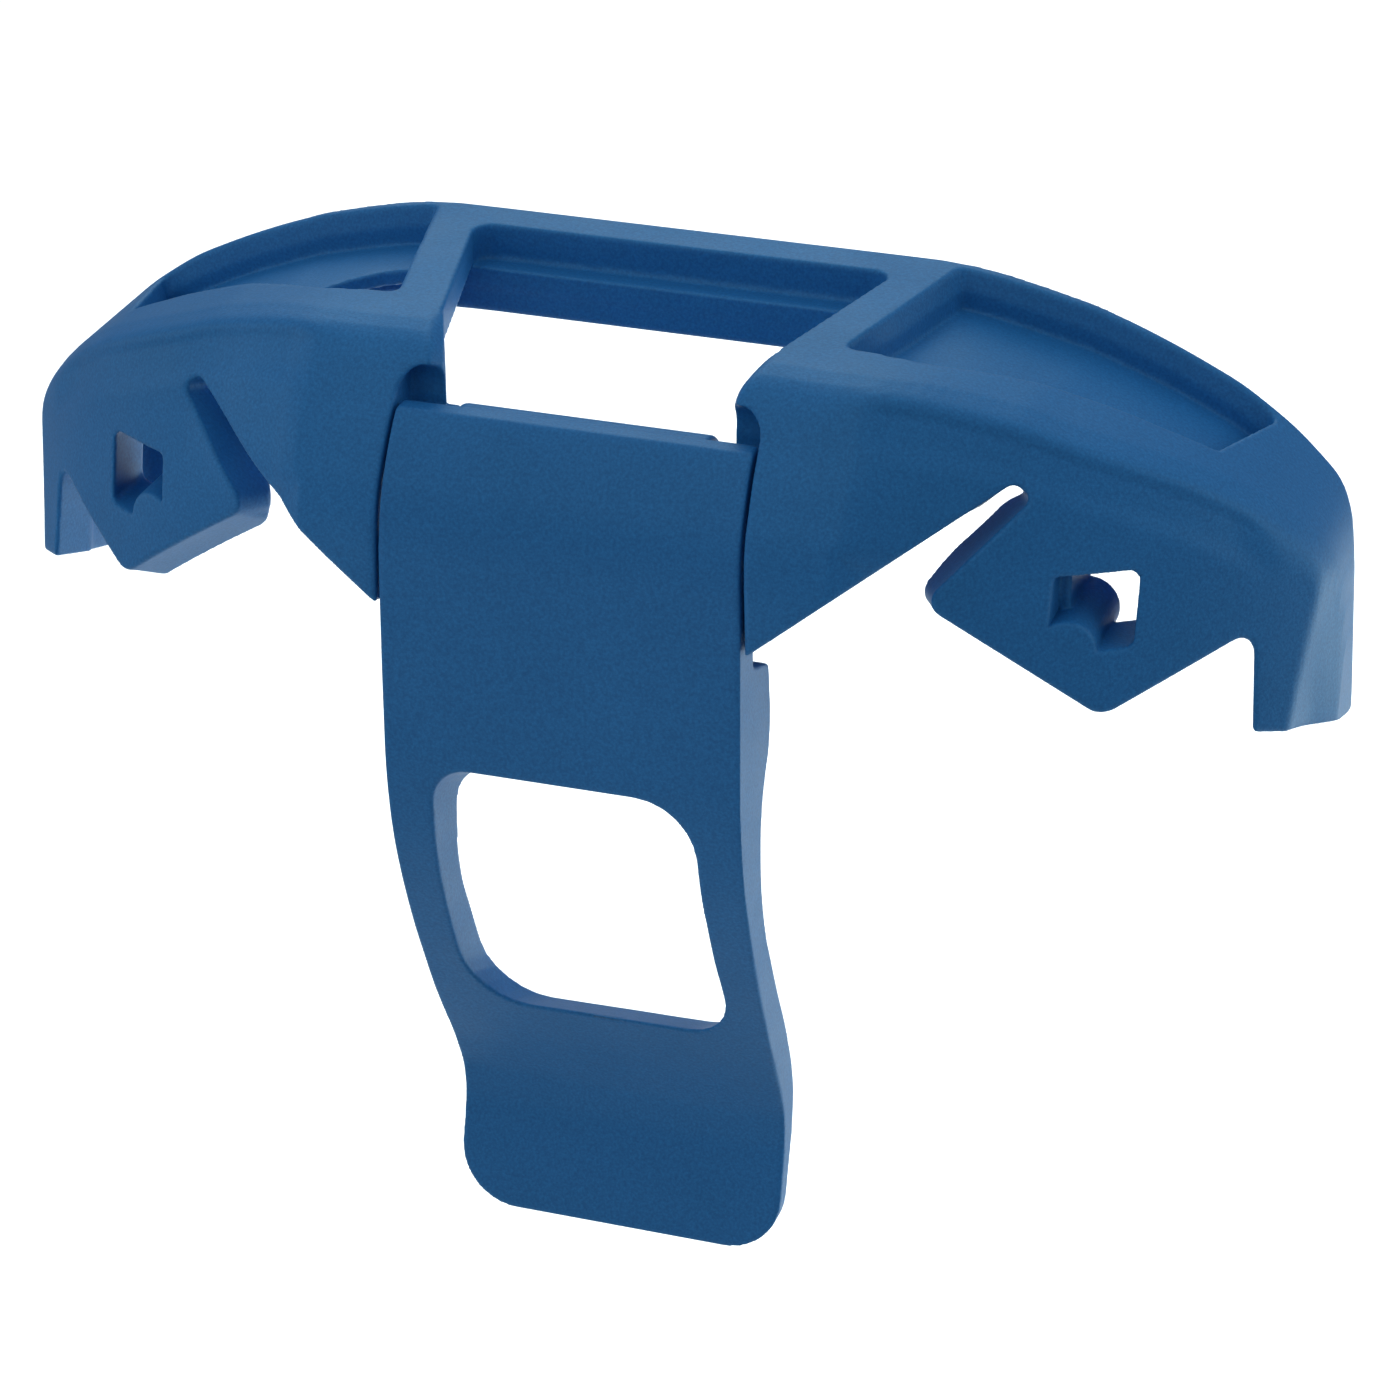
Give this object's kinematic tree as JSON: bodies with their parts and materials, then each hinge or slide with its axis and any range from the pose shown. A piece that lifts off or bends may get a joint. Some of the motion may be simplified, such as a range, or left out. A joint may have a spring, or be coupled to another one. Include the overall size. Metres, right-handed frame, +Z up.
{
  "type": "clip-on carrying handle",
  "caption": "Arched clip-on carrying handle in moulded plastic with a grip opening, side wings and a hinged latch lever that swings on a pin",
  "frame": {"origin": "centre of the bounding box at rest, latch lever shut", "axes": "+X along the handle's width, +Y from the latch lever to the grip bar at the back, +Z up through the grip bar"},
  "size_m": [0.2232, 0.072, 0.1648],
  "materials": {
    "handle_plastic": "fine moulded grain, mid blue",
    "lever_plastic": "fine moulded grain, mid blue",
    "pin_steel": "plain drawn steel"
  },
  "bodies": {
    "handle": {"handle_body": "handle_plastic", "hinge_pin": "pin_steel"},
    "lever": {"latch_lever": "lever_plastic"}
  },
  "joints": [
    {"name": "lever_pivot", "type": "hinge", "parent": "handle", "child": "lever", "pos_m": [0, -0.02337, 0.06415], "axis": [-1, 0, 0], "range_deg": [0, 30]}
  ]
}
